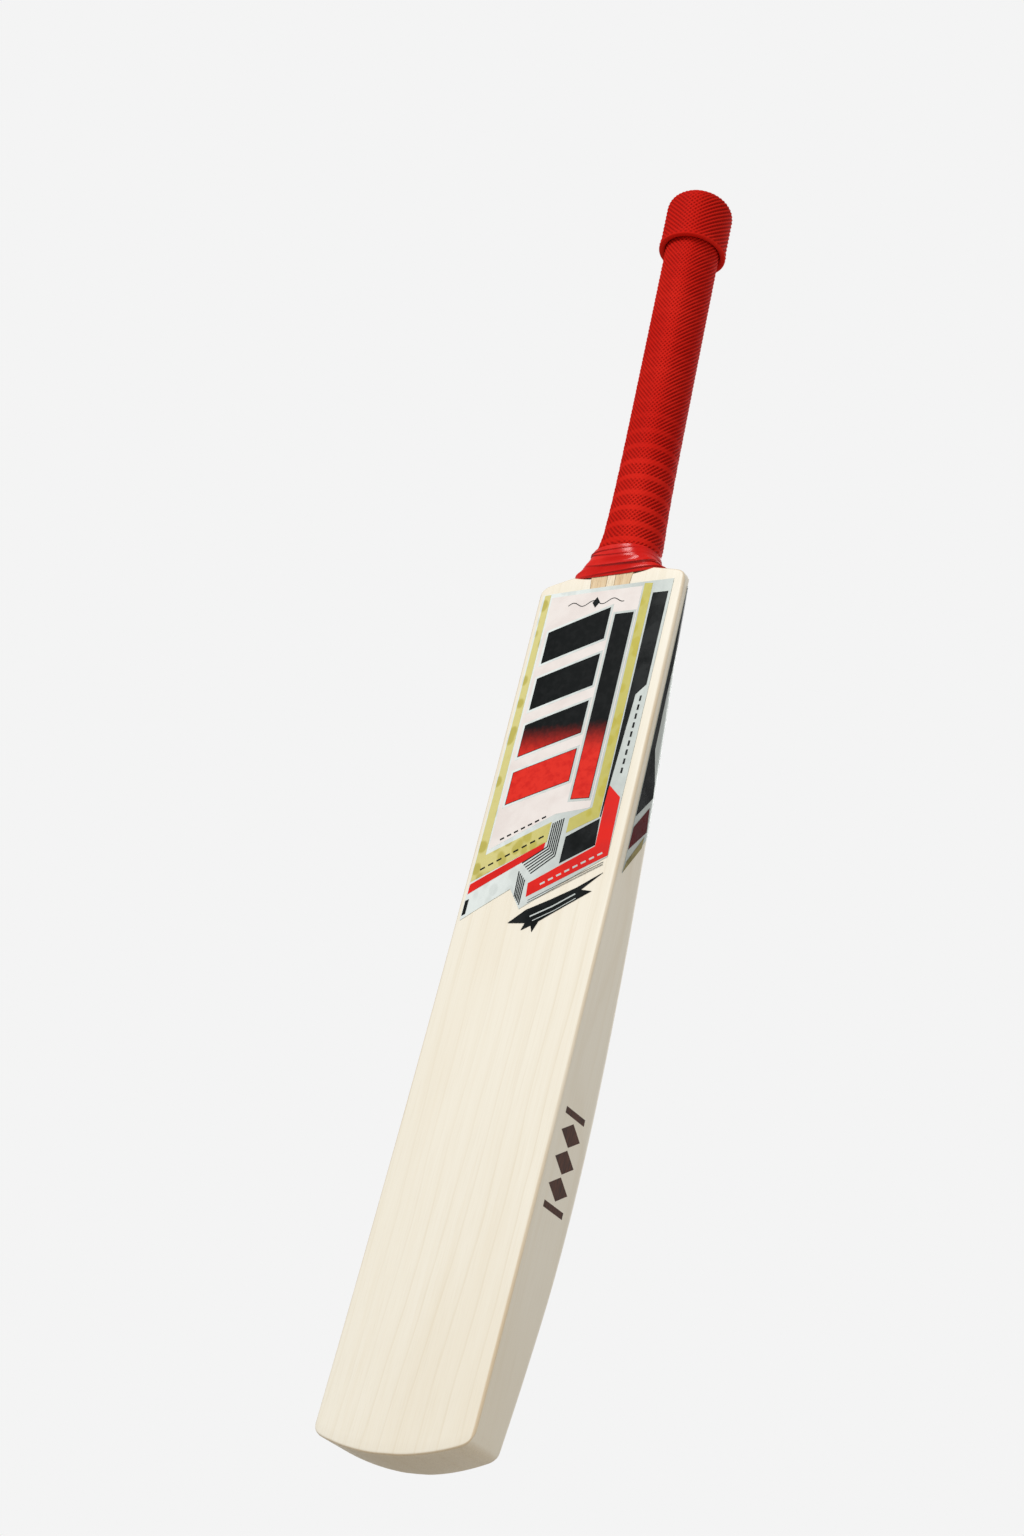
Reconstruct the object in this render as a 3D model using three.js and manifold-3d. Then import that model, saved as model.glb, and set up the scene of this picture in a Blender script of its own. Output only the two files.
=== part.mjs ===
// A cricket bat standing on its toe: willow blade, spliced cane handle with rubber springs,
// twine binding, rubber grip with a thick end cuff, binding tape and stickers.
// Millimetres. +Z runs from the toe to the handle, the striking face looks along -Y.
import * as THREE from 'three';
import { mergeVertices } from 'three/addons/utils/BufferGeometryUtils.js';
import Module from 'manifold-3d';

const wasm = await Module();
wasm.setup();

// ---- Driving dimensions ----
const gap = 0.3; // glue line and clearance between touching pieces

// Blade
const bladeWidth = 108;
const halfWidth = bladeWidth / 2;
const shoulderHeight = 562; // at the outer corners
const faceBow = 3.9; // how far the face curves forward, 280 mm above or below its middle
const bowReach = 280;
const bowMiddle = 330;
const faceCrown = 0.8; // how far the face falls back towards its long edges
const frontCornerRadius = 2.6;
const backCornerRadius = 4.5;
const toeRadius = 147; // the toe's curve, seen from the front
const toeFlatHalfWidth = 8; // the level foot in the middle of that curve
const toeCornerRadius = 7;
const shoulderCornerRadius = 7.5;
const shoulderRise = 5; // from the outer corner to the tape
const shoulderTopHalfWidth = 29;

// Height above the toe, depth of the edges, depth at the spine
const bladeDepths = [
  [0, 28.5, 34],
  [60, 35, 48],
  [120, 39.6, 59],
  [200, 39.9, 66],
  [280, 35.6, 65],
  [400, 25.2, 54],
  [480, 16.3, 43],
  [530, 10.8, 35],
  [562, 8, 30.6],
  [590, 8, 29],
];

// Splice: a long V cut right through the top of the blade
const spliceTip = 425;
const spliceSlope = 0.1125; // half-width gained per millimetre of height

// Handle
const handleTop = 852;
const axisDepth = 12.5; // the handle's centre line behind the face's middle, at axisHeight
const axisHeight = 560;
const handleLean = 0.068; // forward, per millimetre of height
const coreRadius = 15.1;
const taperWidth = 4.6; // extra half-width at flareHeight and below, dying away slowly upwards
const taperFade = 34;
const flareWidth = 12.3; // and more, dying away quickly
const flareFade = 4.8;
const flareHeight = 570;
const throatDepth = 0.9; // slight swelling front to back where the handle meets the shoulders
const throatHeight = 595;
const throatFade = 22;
const roundHeight = 600; // above this the handle is oval
const frontPower = 3; // below it the front squares up: 2 is an oval, more is squarer
const roofPower = 1.2; // and the back turns roof-shaped: 1 is a straight-sided roof
const neckBottom = 555; // the willow runs up into the handle between these heights
const neckTop = 600;
const middleStripWidth = 6;
const springThickness = 1.6;
const springPitch = 8.1;
const bindingThickness = 0.8;
const bindingBottom = 581;
const bindingTop = 837.5;
const gripThickness = 1.6;
const gripBottom = 577.5;

// Cuff on the end of the grip
const cuffBottom = 818;
const cuffTop = 857.5;
const cuffRadius = 22.2;
const cuffMouthRadius = 9;
const cuffCrownRadius = 8;
const cuffLip = 0.5; // how far the lower lip stands out
const cuffLipHeight = 4.5;
const cuffLipFade = 8; // height at which the lip has died away

// Tape over the lower end of the grip
const tapeThickness = 0.6;
const tapeTop = 584;
const tapeFront = 564; // lower edge at the front and back
const tapeSideRise = 4.5; // lower edge is this much higher at the sides
const tapeFullHeight = 575; // above this it clears the grip, below it closes on the wood

// Stickers
const stickerGap = 0.15;
const stickerThickness = 0.35;
const edgeStickerInner = 51; // the edge stickers stop here on their way round the back corner

const wellOutside = 120; // further from the handle's axis than any part of the blade

// ---- Solid helpers ----
function toSolid(geometry) {
  const bare = geometry.clone();
  bare.deleteAttribute('normal');
  bare.deleteAttribute('uv');
  const merged = mergeVertices(bare);
  return new wasm.Manifold(new wasm.Mesh({
    numProp: 3,
    vertProperties: merged.attributes.position.array,
    triVerts: new Uint32Array(merged.index.array),
  }));
}

function toGeometry(solid) {
  const { vertProperties, triVerts } = solid.getMesh();
  const geometry = new THREE.BufferGeometry();
  geometry.setAttribute('position', new THREE.BufferAttribute(vertProperties, 3));
  geometry.setIndex(new THREE.BufferAttribute(triVerts, 1));
  geometry.computeVertexNormals();
  return geometry;
}

// A closed skin over a stack of rings. ringPoint(row, column) places each corner;
// columns start at the face, on -Y, and run anticlockwise seen from above.
function loft(rows, columns, ringPoint) {
  const geometry = new THREE.CylinderGeometry(1, 1, 1, columns, rows - 1);
  geometry.rotateX(Math.PI / 2);
  const corner = geometry.attributes.position;
  for (let i = 0; i < corner.count; i++) {
    const row = Math.round((corner.getZ(i) + 0.5) * (rows - 1));
    const turn = Math.atan2(corner.getX(i), -corner.getY(i)) / (2 * Math.PI);
    const column = (Math.round(turn * columns) + columns) % columns;
    const atCentre = Math.hypot(corner.getX(i), corner.getY(i)) < 0.5;
    const point = atCentre ? ringMiddle(row, columns, ringPoint) : ringPoint(row, column);
    corner.setXYZ(i, point.x, point.y, point.z);
  }
  return geometry;
}

function ringMiddle(row, columns, ringPoint) {
  const middle = new THREE.Vector3();
  for (let column = 0; column < columns; column++) middle.add(ringPoint(row, column));
  return middle.divideScalar(columns);
}

// A front-view outline (x, z) pushed through from yFrom to yTo
function prismAlongY(shape, yFrom, yTo) {
  const geometry = new THREE.ExtrudeGeometry(shape, {
    depth: yTo - yFrom,
    bevelEnabled: false,
    curveSegments: 5,
  });
  geometry.rotateX(Math.PI / 2);
  geometry.translate(0, yTo, 0);
  return geometry;
}

// A side-view outline (y, z) pushed through from xFrom to xTo
function prismAlongX(shape, xFrom, xTo) {
  const geometry = new THREE.ExtrudeGeometry(shape, { depth: xTo - xFrom, bevelEnabled: false });
  geometry.rotateX(Math.PI / 2);
  geometry.rotateZ(Math.PI / 2);
  geometry.translate(xFrom, 0, 0);
  return geometry;
}

function outline(points) {
  return new THREE.Shape(points.map(([across, up]) => new THREE.Vector2(across, up)));
}

// ---- Blade ----
const depthCurve = new THREE.CubicInterpolant(
  bladeDepths.map(([height]) => height),
  bladeDepths.flatMap(([, edge, spine]) => [edge, spine]),
  2,
);

function faceY(z) {
  return -faceBow * ((z - bowMiddle) / bowReach) ** 2;
}

// Points round one section at height z, anticlockwise from the right side of the face
function bladeSection(z) {
  const [edgeDepth, spineDepth] = depthCurve.evaluate(z);
  const face = faceY(z);
  const backRadius = Math.min(backCornerRadius, edgeDepth * 0.35);
  const frontRadius = Math.min(frontCornerRadius, edgeDepth * 0.35);
  const right = [];
  for (const across of [0.4, 0.72]) {
    right.push([halfWidth * across, face + faceCrown * across ** 3]);
  }
  for (const angle of [-90, -55, -25, 0].map(THREE.MathUtils.degToRad)) {
    right.push([
      halfWidth - frontRadius * (1 - Math.cos(angle)),
      face + faceCrown + frontRadius * (1 + Math.sin(angle)),
    ]);
  }
  const edgeBack = face + edgeDepth;
  for (const angle of [0, 30, 60].map(THREE.MathUtils.degToRad)) {
    right.push([
      halfWidth - backRadius * (1 - Math.cos(angle)),
      edgeBack - backRadius * (1 - Math.sin(angle)),
    ]);
  }
  for (const across of [0.78, 0.6, 0.42, 0.29, 0.19, 0.11, 0.04]) {
    const climb = 1 - across;
    const blend = THREE.MathUtils.lerp(climb, THREE.MathUtils.smoothstep(climb, 0, 1), 0.6);
    right.push([halfWidth * across, edgeBack + (spineDepth - edgeDepth) * blend]);
  }
  const left = right.map(([x, y]) => [-x, y]).reverse();
  return [...right, ...left];
}

// The same section grown outwards by a skin
function grownSection(z, skin) {
  const points = bladeSection(z);
  return points.map(([x, y], i) => {
    const [beforeX, beforeY] = points.at(i - 1);
    const [afterX, afterY] = points[(i + 1) % points.length];
    const along = new THREE.Vector2(afterX - beforeX, afterY - beforeY).normalize();
    return [x + skin * along.y, y - skin * along.x];
  });
}

const bladeRows = [
  0, 18, 40, 70, 100, 135, 170, 205, 240, 280, 320, 360, 400, 440, 480, 510, 535, 555, 590,
];

function bladeLoft(skin) {
  const sections = bladeRows.map((z) => grownSection(z, skin));
  return loft(bladeRows.length, sections[0].length, (row, column) => {
    const [x, y] = sections[row][column];
    return new THREE.Vector3(x, y, bladeRows[row]);
  });
}

function bladeOutline() {
  const down = -Math.PI / 2;
  const arcStart = Math.asin(toeFlatHalfWidth / toeRadius);
  const arcEnd = Math.asin((halfWidth - toeCornerRadius) / toeRadius);
  const toeCentreHeight = toeRadius * Math.cos(arcStart);
  const toeCornerHeight = toeCentreHeight - Math.sqrt(toeRadius ** 2 - halfWidth ** 2);
  const shoulderSlope = shoulderRise / (halfWidth - shoulderTopHalfWidth);
  const shoulderInnerX = halfWidth - shoulderCornerRadius;
  const shoulderInnerZ = shoulderHeight + shoulderCornerRadius * shoulderSlope;
  const topZ = shoulderHeight + shoulderRise;
  const shape = new THREE.Shape();
  shape.absarc(0, toeCentreHeight, toeRadius, down - arcEnd, down - arcStart, false);
  shape.absarc(0, toeCentreHeight, toeRadius, down + arcStart, down + arcEnd, false);
  shape.quadraticCurveTo(halfWidth, toeCornerHeight, halfWidth, toeCornerHeight + toeCornerRadius);
  shape.lineTo(halfWidth, shoulderHeight - shoulderCornerRadius);
  shape.quadraticCurveTo(halfWidth, shoulderHeight, shoulderInnerX, shoulderInnerZ);
  shape.lineTo(shoulderTopHalfWidth, topZ);
  shape.lineTo(-shoulderTopHalfWidth, topZ);
  shape.lineTo(-shoulderInnerX, shoulderInnerZ);
  shape.quadraticCurveTo(-halfWidth, shoulderHeight, -halfWidth, shoulderHeight - shoulderCornerRadius);
  shape.lineTo(-halfWidth, toeCornerHeight + toeCornerRadius);
  shape.quadraticCurveTo(
    -halfWidth,
    toeCornerHeight,
    toeCornerRadius - halfWidth,
    toeCentreHeight - toeRadius * Math.cos(arcEnd),
  );
  return shape;
}

// ---- Handle ----
const handleSides = 32;
const flareRows = [
  550, 570, 572, 574.5, 577.5, 581, 586, 593, 602, 614, 630, 650, 690, 870,
];

function axisY(z) {
  return axisDepth - handleLean * (z - axisHeight);
}

// Half-width and half-depth of the wooden core, and the powers that round its front and back
function coreHalves(z) {
  const climb = Math.max(z - flareHeight, 0);
  const taper = taperWidth * Math.exp(-climb / taperFade);
  const across = coreRadius + taper + flareWidth * Math.exp(-climb / flareFade);
  const deep = coreRadius + throatDepth * Math.exp(-(((z - throatHeight) / throatFade) ** 2));
  const round = THREE.MathUtils.smoothstep(z, flareHeight, roundHeight);
  const front = THREE.MathUtils.lerp(frontPower, 2, round);
  const back = THREE.MathUtils.lerp(roofPower, 2, round);
  return [across, deep, front, back];
}

// The same halves on the straight stretches between the rows that every handle piece shares
function facetedHalves(z) {
  const above = flareRows.findIndex((row) => row >= z);
  const upper = flareRows[Math.max(above, 1)];
  const lower = flareRows[Math.max(above, 1) - 1];
  const part = (z - lower) / (upper - lower);
  const high = coreHalves(upper);
  return coreHalves(lower).map((low, i) => THREE.MathUtils.lerp(low, high[i], part));
}

// A closed stack of ovals round the handle's axis. rowHeight(row, angle) may wave round the
// ring, and growth(z) is the distance outside the wooden core.
function handleLoft(rows, rowHeight, growth) {
  return loft(rows, handleSides, (row, column) => {
    const angle = (column / handleSides) * 2 * Math.PI;
    const z = rowHeight(row, angle);
    const [across, deep, front, rear] = facetedHalves(z);
    const bend = 2 / (Math.cos(angle) < 0 ? rear : front);
    const side = Math.sign(Math.sin(angle)) * Math.abs(Math.sin(angle)) ** bend;
    const back = -Math.sign(Math.cos(angle)) * Math.abs(Math.cos(angle)) ** bend;
    const x = (across + growth(z)) * side;
    const y = (deep + growth(z)) * back;
    return new THREE.Vector3(x, axisY(z) + y, z);
  });
}

function handleColumn(bottom, top, growth) {
  const heights = [bottom, ...flareRows.filter((z) => z > bottom && z < top), top];
  return handleLoft(heights.length, (row) => heights[row], () => growth);
}

const cutPast = 3; // how far a cutting solid runs past the ends it opens

// A tube between two distances outside the core
function handleTube(bottom, top, innerGrowth, outerGrowth) {
  const bore = toSolid(handleColumn(bottom - cutPast, top + cutPast, innerGrowth));
  return toSolid(handleColumn(bottom, top, outerGrowth)).subtract(bore);
}

const gripInner = gap + bindingThickness + gap;
const gripOuter = gripInner + gripThickness;

// The tape's lower edge waves round the handle, higher at the sides, and its upper edge is level.
// It lies on the grip at the top and closes onto the wood at the bottom. The solid runs past
// both edges by an overrun.
function tapeLoft(growth, overrun) {
  const steps = 8;
  const rowHeight = (row, angle) => {
    const lowerEdge = tapeFront + tapeSideRise * Math.sin(angle) ** 2;
    if (row === 0) return lowerEdge - overrun;
    if (row === steps + 2) return tapeTop + overrun;
    return THREE.MathUtils.lerp(lowerEdge, tapeTop, (row - 1) / steps);
  };
  const seat = (z) => {
    const climb = THREE.MathUtils.clamp((z - tapeFront) / (tapeFullHeight - tapeFront), 0, 1);
    return gap + gripOuter * climb + growth;
  };
  return toSolid(handleLoft(steps + 3, rowHeight, seat));
}

// Both skins have the same rows, so the tape is equally thick all over
function tape() {
  const hem = 0.01;
  return tapeLoft(tapeThickness, hem).subtract(tapeLoft(0, cutPast));
}

// The rounded cuff: a turned ring with a mouth at the top, leaned onto the handle's axis
function cuff() {
  const bore = coreRadius + gripOuter + gap;
  const lipRadius = cuffRadius + cuffLip;
  const crownCentre = cuffRadius - cuffCrownRadius;
  const crownBottom = cuffTop - cuffCrownRadius;
  const underside = handleTop + gap;
  const profile = new THREE.Path();
  profile.moveTo(bore, cuffBottom);
  profile.lineTo(lipRadius - 1, cuffBottom);
  profile.lineTo(lipRadius, cuffBottom + 1.5);
  profile.lineTo(lipRadius, cuffBottom + cuffLipHeight);
  profile.lineTo(cuffRadius, cuffBottom + cuffLipFade);
  profile.lineTo(cuffRadius, crownBottom);
  profile.absarc(crownCentre, crownBottom, cuffCrownRadius, 0, Math.PI / 2, false);
  profile.lineTo(cuffMouthRadius + 1, cuffTop);
  profile.lineTo(cuffMouthRadius, cuffTop - 1);
  profile.lineTo(cuffMouthRadius, underside);
  profile.lineTo(bore, underside);
  profile.lineTo(bore, cuffBottom);
  const geometry = new THREE.LatheGeometry(profile.getPoints(4), handleSides);
  geometry.rotateX(Math.PI / 2);
  const corner = geometry.attributes.position;
  for (let i = 0; i < corner.count; i++) corner.setY(i, corner.getY(i) + axisY(corner.getZ(i)));
  return toSolid(geometry);
}

// ---- Splice and blade blank ----
function spliceWedge(inset) {
  const top = handleTop + cutPast;
  const tip = spliceTip + inset / spliceSlope;
  const halfAtTop = (top - tip) * spliceSlope;
  const front = outline([[0, tip], [halfAtTop, top], [-halfAtTop, top]]);
  return toSolid(prismAlongY(front, -wellOutside, wellOutside));
}

const bladeBlank = toSolid(bladeLoft(0))
  .intersect(toSolid(prismAlongY(bladeOutline(), -wellOutside, wellOutside)))
  .subtract(tapeLoft(tapeThickness + gap, gap))
  .add(toSolid(handleColumn(neckBottom, neckTop, 0)));

// Everything the cane may fill: the top of the blade and the round handle above it
const caneEnvelope = bladeBlank
  .add(toSolid(handleColumn(neckBottom, handleTop, 0)))
  .intersect(spliceWedge(gap));

// A bar of the handle block, between two widths and two depths from the leaning axis
function handleBar(xFrom, xTo, depthFrom, depthTo) {
  const bottom = spliceTip - cutPast;
  const top = handleTop + cutPast;
  const bar = new THREE.BoxGeometry(xTo - xFrom, depthTo - depthFrom, top - bottom);
  bar.translate((xFrom + xTo) / 2, (depthFrom + depthTo) / 2, (bottom + top) / 2);
  const corner = bar.attributes.position;
  for (let i = 0; i < corner.count; i++) corner.setY(i, corner.getY(i) + axisY(corner.getZ(i)));
  return toSolid(bar).intersect(caneEnvelope);
}

// ---- Stickers ----
// A thin skin lying just off the blade's surface, trimmed to a prism
const stickerSkin = toSolid(bladeLoft(stickerGap + stickerThickness))
  .subtract(toSolid(bladeLoft(stickerGap)));

function sticker(prism) {
  return stickerSkin.intersect(toSolid(prism));
}

const faceLabelOutline = outline([
  [-50, 556], [47, 556], [46, 363], [-8, 331], [-18, 345], [-50, 326],
]);
const flashOutline = outline([
  [-13.5, 322], [-1, 321.4], [-2.6, 316.8], [3.6, 319.6], [5.4, 315.2], [8.5, 322.2],
  [24, 331], [40.6, 340.4], [33, 341.6], [45.5, 352.3], [29.5, 343], [13, 336], [-2.5, 330.2],
]);
const backLabelOutline = outline([
  [-34, 540], [34, 540], [34, 420], [0, 392], [-34, 420],
]);
const edgeStickerOutline = outline([
  [3.5, 553], [34, 553], [34, 403], [7, 355], [6.5, 393],
]);

// ---- Assembly ----
const bat = new THREE.Group();

function addPart(name, geometry, color, roughness, metalness = 0) {
  const material = new THREE.MeshStandardMaterial({ color, roughness, metalness });
  const mesh = new THREE.Mesh(geometry, material);
  mesh.name = name;
  bat.add(mesh);
}

addPart('blade', toGeometry(bladeBlank.subtract(spliceWedge(0))), 0xe9dfce, 0.55);

// Four layers of cane, each of three strips side by side, with a rubber spring between layers
const stripEdge = middleStripWidth / 2;
const caneColumns = {
  left: [-wellOutside, -stripEdge - gap / 2],
  middle: [-stripEdge + gap / 2, stripEdge - gap / 2],
  right: [stripEdge + gap / 2, wellOutside],
};
const springHalf = springThickness / 2;
const caneLayers = {
  front: [-wellOutside, -springPitch - springHalf - gap],
  inner_front: [-springPitch + springHalf + gap, -springHalf - gap],
  inner_back: [springHalf + gap, springPitch - springHalf - gap],
  back: [springPitch + springHalf + gap, wellOutside],
};
for (const [layer, [depthFrom, depthTo]] of Object.entries(caneLayers)) {
  for (const [column, [xFrom, xTo]] of Object.entries(caneColumns)) {
    const strip = handleBar(xFrom, xTo, depthFrom, depthTo);
    addPart(`cane_${layer}_${column}`, toGeometry(strip), 0xd9b98a, 0.6);
  }
}
for (const [step, place] of ['front', 'centre', 'back'].entries()) {
  const middle = (step - 1) * springPitch;
  const depths = [middle - springHalf, middle + springHalf];
  const spring = handleBar(-wellOutside, wellOutside, ...depths);
  addPart(`rubber_spring_${place}`, toGeometry(spring), 0x2b2624, 0.8);
}

const binding = handleTube(bindingBottom, bindingTop, gap, gap + bindingThickness);
const grip = handleTube(gripBottom, handleTop, gripInner, gripOuter);
addPart('twine_binding', toGeometry(binding), 0xe6ddc8, 0.9);
addPart('grip_sleeve', toGeometry(grip), 0xb3241c, 0.7);
addPart('grip_cuff', toGeometry(cuff()), 0xb3241c, 0.7);
addPart('grip_tape', toGeometry(tape()), 0xc72f26, 0.25);

// Between the striking face and the back, within the height of the labels
const midDepth = 3;
const facePrism = prismAlongY(faceLabelOutline, -wellOutside, midDepth);
const flashPrism = prismAlongY(flashOutline, -wellOutside, midDepth);
const backPrism = prismAlongY(backLabelOutline, midDepth, wellOutside);
const rightPrism = prismAlongX(edgeStickerOutline, edgeStickerInner, wellOutside);
const leftPrism = prismAlongX(edgeStickerOutline, -wellOutside, -edgeStickerInner);
addPart('face_label', toGeometry(sticker(facePrism)), 0xe8e0d6, 0.4);
addPart('flash_sticker', toGeometry(sticker(flashPrism)), 0x161616, 0.4);
addPart('back_label', toGeometry(sticker(backPrism)), 0xe8e0d6, 0.4);
addPart('edge_sticker_right', toGeometry(sticker(rightPrism)), 0x1a1a1a, 0.4);
addPart('edge_sticker_left', toGeometry(sticker(leftPrism)), 0x1a1a1a, 0.4);

// The origin lies under the middle of the bounding box, at the lowest point of the toe
const bounds = new THREE.Box3().setFromObject(bat);
bat.position.y = -(bounds.min.y + bounds.max.y) / 2;
bat.updateMatrixWorld(true);

export default bat;
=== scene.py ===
"""A cricket bat: pale willow blade, red net-patterned grip, glossy tape and foil stickers.

Shapes are worked out in millimetres in the bat's own frame, where y = 0 is the striking face at
the middle of its bow, and are moved into the row frame, in metres, as each mesh is made.
"""
import math

import bmesh
import bpy
import numpy as np
from mathutils import Matrix, Vector


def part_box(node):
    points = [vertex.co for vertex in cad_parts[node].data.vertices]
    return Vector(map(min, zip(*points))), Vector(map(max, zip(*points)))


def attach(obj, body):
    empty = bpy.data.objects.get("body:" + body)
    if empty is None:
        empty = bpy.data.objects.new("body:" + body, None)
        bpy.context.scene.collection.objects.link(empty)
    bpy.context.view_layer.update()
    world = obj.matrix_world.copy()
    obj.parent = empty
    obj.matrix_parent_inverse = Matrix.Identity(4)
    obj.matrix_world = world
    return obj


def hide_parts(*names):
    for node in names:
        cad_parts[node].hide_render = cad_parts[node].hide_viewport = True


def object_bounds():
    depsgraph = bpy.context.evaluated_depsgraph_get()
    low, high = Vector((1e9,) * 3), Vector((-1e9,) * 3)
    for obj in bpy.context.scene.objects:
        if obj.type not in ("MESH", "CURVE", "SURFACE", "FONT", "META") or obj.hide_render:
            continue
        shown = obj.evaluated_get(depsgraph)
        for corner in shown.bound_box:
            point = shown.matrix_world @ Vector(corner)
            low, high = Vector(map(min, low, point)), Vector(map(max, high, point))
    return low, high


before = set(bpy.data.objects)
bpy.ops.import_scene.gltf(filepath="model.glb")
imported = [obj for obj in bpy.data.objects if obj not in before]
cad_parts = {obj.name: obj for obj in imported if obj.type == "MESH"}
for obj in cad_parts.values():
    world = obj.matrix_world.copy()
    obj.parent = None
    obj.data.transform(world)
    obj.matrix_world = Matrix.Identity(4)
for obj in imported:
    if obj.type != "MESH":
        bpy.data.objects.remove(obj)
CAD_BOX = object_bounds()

MM = 0.001
ROOT = "root"

# ---- Blade dimensions, in millimetres ----
HALF_WIDTH = 54.0
SHOULDER_HEIGHT = 562.0
FACE_BOW = 3.9
BOW_REACH = 280.0
BOW_MIDDLE = 330.0
FACE_CROWN = 0.8
FRONT_RADIUS = 2.6
BACK_RADIUS = 4.5
TOE_RADIUS = 147.0
TOE_FLAT = 8.0
TOE_CORNER = 7.0
SHOULDER_CORNER = 7.5
SHOULDER_RISE = 5.0
SHOULDER_TOP = 29.0
RIM_RADIUS = 1.6
SPINE_ROUNDING = 0.035
SPINE_CURVE = 0.6
EDGE_DIP = 0.6
EDGE_DIP_START = 51.75
EDGE_DIP_FADE = 3.0
TAPE_SEAT_REACH = 33.0
NECK_HEIGHT = 568.0
NECK_RISE = 9.0
NECK_START = 0.8
NECK_FADE = 0.3
DEEP_HEIGHT = 300.0
TOE_CAP_DEPTH = 15.0
TOP_CAP_HEIGHT = 560.0
TOP_CAP_DEPTH = 4.0
# Height above the toe, depth of the edges, depth at the spine
BLADE_DEPTHS = np.array([
    (0, 28.5, 34),
    (60, 35, 48),
    (120, 39.6, 59),
    (200, 39.9, 66),
    (280, 35.6, 65),
    (400, 25.2, 54),
    (480, 16.3, 43),
    (530, 10.8, 35),
    (562, 8, 30.6),
    (590, 8, 29),
], float)
SPLICE_TIP = 425.0
SPLICE_SLOPE = 0.1125
WEDGE_TOP = 600.0
WEDGE_FRONT = -60.0
WEDGE_BACK = 100.0

# ---- Handle dimensions, in millimetres ----
AXIS_DEPTH = 12.5
AXIS_HEIGHT = 560.0
HANDLE_LEAN = 0.068
CORE_RADIUS = 15.1
TAPER_WIDTH = 4.6
TAPER_FADE = 34.0
FLARE_WIDTH = 12.3
FLARE_FADE = 4.8
FLARE_HEIGHT = 570.0
THROAT_DEPTH = 0.9
THROAT_HEIGHT = 595.0
THROAT_FADE = 22.0
ROUND_HEIGHT = 600.0
FRONT_POWER = 3.0
ROOF_POWER = 1.2
GRIP_INNER = 1.4
GRIP_OUTER = 3.0
GRIP_BOTTOM = 577.5
HANDLE_TOP = 852.0
CUFF_BOTTOM = 818.0
CUFF_TOP = 857.5
CUFF_RADIUS = 22.2
CUFF_MOUTH = 9.0
TAPE_TOP = 584.0
TAPE_FRONT = 564.0
TAPE_SIDE_RISE = 4.5
TAPE_FULL_HEIGHT = 575.0
GAP = 0.3


def face_y(z):
    return -FACE_BOW * ((z - BOW_MIDDLE) / BOW_REACH) ** 2


# The blade's foremost point is the toe's front edge, which ties this frame to the row frame
ROW_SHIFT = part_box("blade")[0].y / MM - face_y(0)


def axis_y(z):
    return AXIS_DEPTH - HANDLE_LEAN * (z - AXIS_HEIGHT)


def smooth(t):
    t = np.clip(t, 0, 1)
    return t * t * (3 - 2 * t)


def depth_at(z, column):
    """A depth from BLADE_DEPTHS as a smooth curve through its rows."""
    heights = BLADE_DEPTHS[:, 0]
    values = BLADE_DEPTHS[:, column]
    secants = np.diff(values) / np.diff(heights)
    slopes = np.concatenate([secants[:1], (secants[1:] + secants[:-1]) / 2, secants[-1:]])
    z = np.clip(z, heights[0], heights[-1])
    low = np.clip(np.searchsorted(heights, z, side="right") - 1, 0, len(heights) - 2)
    step = heights[low + 1] - heights[low]
    t = (z - heights[low]) / step
    return (
        (2 * t**3 - 3 * t**2 + 1) * values[low]
        + (t**3 - 2 * t**2 + t) * step * slopes[low]
        + (3 * t**2 - 2 * t**3) * values[low + 1]
        + (t**3 - t**2) * step * slopes[low + 1]
    )


def edge_depth(z):
    return depth_at(z, 1)


def spine_depth(z):
    return depth_at(z, 2)


def crown(x):
    return FACE_CROWN * (np.abs(x) / (HALF_WIDTH - FRONT_RADIUS)) ** 3


def front_y(x, z):
    """The striking face."""
    return face_y(z) + crown(x)


def back_y(x, z):
    """The back of the blade, from its edge up to the rounded spine."""
    edge = edge_depth(z)
    across = np.sqrt((x / HALF_WIDTH) ** 2 + SPINE_ROUNDING**2)
    climb = np.clip(1 - across, 0, 1)
    blend = (1 - SPINE_CURVE) * climb + SPINE_CURVE * smooth(climb)
    dip = EDGE_DIP * np.exp((np.abs(x) - EDGE_DIP_START) / EDGE_DIP_FADE)
    return face_y(z) + edge + (spine_depth(z) - edge) * blend - dip


# ---- Meshes ----
def new_mesh(name, points, faces, material, soft_angle=None):
    """Makes a mesh object from points in millimetres in the bat's frame."""
    points = np.asarray(points, float).reshape(-1, 3) * MM
    points[:, 1] += ROW_SHIFT * MM
    mesh = bpy.data.meshes.new(name)
    mesh.from_pydata(points.tolist(), [], [tuple(face) for face in faces])
    mesh.validate()
    obj = bpy.data.objects.new(name, mesh)
    bpy.context.scene.collection.objects.link(obj)
    if material:
        mesh.materials.append(material)
    shade(obj, soft_angle)
    return obj


def shade(obj, soft_angle=None):
    mesh = obj.data
    mesh.shade_smooth()
    if soft_angle is not None:
        mesh.set_sharp_from_angle(angle=math.radians(soft_angle))


def grid_faces(rows, columns, close_columns=True, first=0):
    """Quads over a grid of points; columns run anticlockwise seen from above, rows run up."""
    row, column = np.meshgrid(np.arange(rows - 1), np.arange(columns), indexing="ij")
    if not close_columns:
        row, column = row[:, :-1], column[:, :-1]
    after = (column + 1) % columns
    quads = np.stack([
        row * columns + column,
        row * columns + after,
        (row + 1) * columns + after,
        (row + 1) * columns + column,
    ], -1)
    return (quads.reshape(-1, 4) + first).tolist()


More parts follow.
